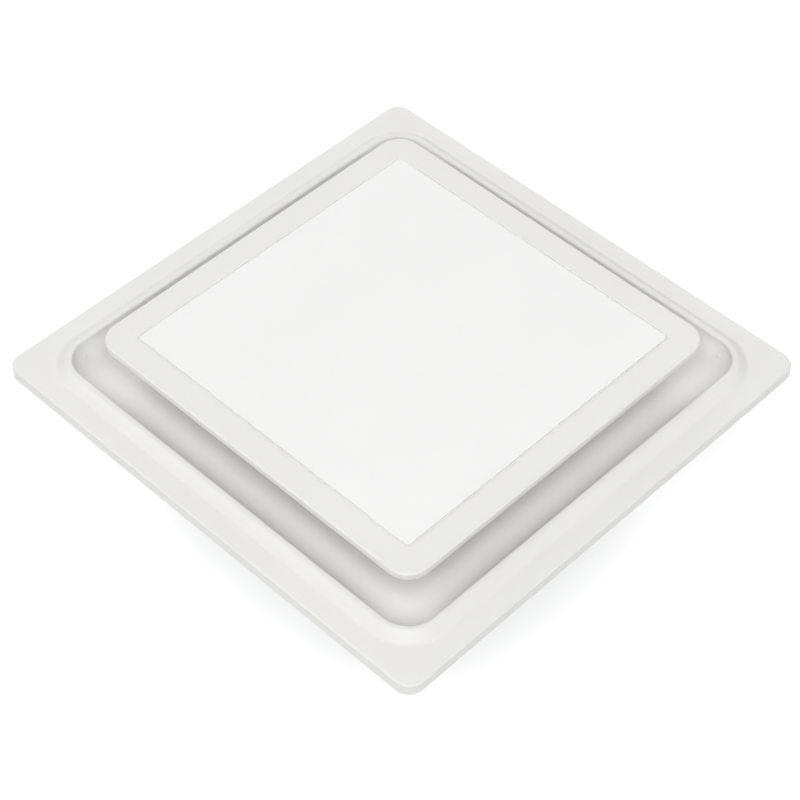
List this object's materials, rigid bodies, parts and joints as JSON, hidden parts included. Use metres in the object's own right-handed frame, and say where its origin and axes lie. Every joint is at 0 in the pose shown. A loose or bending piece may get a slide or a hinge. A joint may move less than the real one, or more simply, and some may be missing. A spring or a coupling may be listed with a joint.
{
  "type": "bathroom fan with light",
  "caption": "Square white ceiling extractor fan: flat light panel floating over a sunk air trough, steel housing with blower, motor and side duct collar with damper.",
  "frame": {"origin": "centre of the housing's flat back face, which lies on the table and is uppermost in a ceiling", "axes": "+Z out of the light panel towards the room, -X towards the duct outlet, +Y to the rear spring"},
  "size_m": [0.33, 0.33, 0.1266],
  "materials": {
    "white_plastic": "moulded satin white",
    "opal_diffuser": "frosted opal",
    "clear_acrylic": "polished clear",
    "white_sheet": "matt reflective white",
    "foam": "open-cell foam",
    "circuit_board": "solder-masked board",
    "aluminium": "drawn sheet",
    "galvanised_steel": "galvanised sheet",
    "spring_steel": "drawn wire",
    "bright_steel": "bright plated",
    "core_steel": "laminated, varnished",
    "copper": "enamelled winding wire",
    "black_plastic": "moulded black",
    "grey_plastic": "moulded dark grey",
    "lead_grey": "flexible lead jacket",
    "rubber": "soft black"
  },
  "bodies": {
    "housing": {"housing_shell": "galvanised_steel", "wiring_cover": "galvanised_steel", "wire_grommet": "rubber", "fan_socket": "black_plastic", "light_socket": "black_plastic", "fan_plug": "grey_plastic", "motor_lead": "lead_grey", "run_capacitor": "grey_plastic", "duct_collar": "black_plastic", "damper_pin": "bright_steel", "scroll_casing": "black_plastic", "scroll_inlet_plate": "black_plastic", "casing_screw_1": "bright_steel", "casing_screw_2": "bright_steel", "casing_screw_3": "bright_steel", "motor_end_plate": "galvanised_steel", "motor_can": "galvanised_steel", "stator_core": "core_steel", "stator_winding_upper": "copper", "stator_winding_lower": "copper", "motor_bearing_upper": "bright_steel", "motor_bearing_lower": "bright_steel", "spring_receiver_front": "galvanised_steel", "spring_receiver_rear": "galvanised_steel"},
    "wheel": {"blower_wheel": "grey_plastic", "wheel_clip": "bright_steel", "motor_shaft": "bright_steel", "rotor": "core_steel"},
    "damper": {"damper_flap": "grey_plastic"},
    "grille": {"grille_frame": "white_plastic", "light_bezel": "white_plastic", "diffuser": "opal_diffuser", "light_guide": "clear_acrylic", "reflector_sheet": "white_sheet", "backing_foam": "foam", "led_strip_right": "white_sheet", "led_strip_left": "white_sheet", "light_pan": "aluminium", "pan_screw_1": "bright_steel", "pan_screw_2": "bright_steel", "pan_screw_3": "bright_steel", "pan_screw_4": "bright_steel", "driver_case": "grey_plastic", "driver_board": "circuit_board", "light_lead": "lead_grey", "light_plug": "grey_plastic", "plug_clip": "white_plastic", "spring_clip_front": "galvanised_steel", "spring_clip_rear": "galvanised_steel", "spring_coil_front": "spring_steel", "spring_coil_rear": "spring_steel"},
    "leg_front_right": {"spring_leg_front_right": "spring_steel"},
    "leg_front_left": {"spring_leg_front_left": "spring_steel"},
    "leg_rear_right": {"spring_leg_rear_right": "spring_steel"},
    "leg_rear_left": {"spring_leg_rear_left": "spring_steel"}
  },
  "joints": [
    {"name": "wheel_spin", "type": "hinge", "parent": "housing", "child": "wheel", "pos_m": [-0.005, -0.004, 0.03], "axis": [0, 0, 1], "continuous": true},
    {"name": "damper_swing", "type": "hinge", "parent": "housing", "child": "damper", "pos_m": [-0.1083, 0.042, 0.04], "axis": [0, -1, 0], "range_deg": [0, 75]},
    {"name": "grille_drop", "type": "slide", "parent": "housing", "child": "grille", "axis": [0, 0, 1], "range_m": [0, 0.05]},
    {"name": "spring_front_right", "type": "hinge", "parent": "grille", "child": "leg_front_right", "pos_m": [0, -0.0916, 0.09], "axis": [0, 1, 0], "range_deg": [0, 13.56]},
    {"name": "spring_front_left", "type": "hinge", "parent": "grille", "child": "leg_front_left", "pos_m": [0, -0.0799, 0.09], "axis": [0, -1, 0], "range_deg": [0, 13.56]},
    {"name": "spring_rear_right", "type": "hinge", "parent": "grille", "child": "leg_rear_right", "pos_m": [0, 0.0916, 0.09], "axis": [0, 1, 0], "range_deg": [0, 13.56]},
    {"name": "spring_rear_left", "type": "hinge", "parent": "grille", "child": "leg_rear_left", "pos_m": [0, 0.0799, 0.09], "axis": [0, -1, 0], "range_deg": [0, 13.56]}
  ],
  "couplings": [
    {"joint": "spring_front_right", "follows": "grille_drop", "rad_per_m": 4.7342},
    {"joint": "spring_front_left", "follows": "grille_drop", "rad_per_m": 4.7342},
    {"joint": "spring_rear_right", "follows": "grille_drop", "rad_per_m": 4.7342},
    {"joint": "spring_rear_left", "follows": "grille_drop", "rad_per_m": 4.7342}
  ]
}
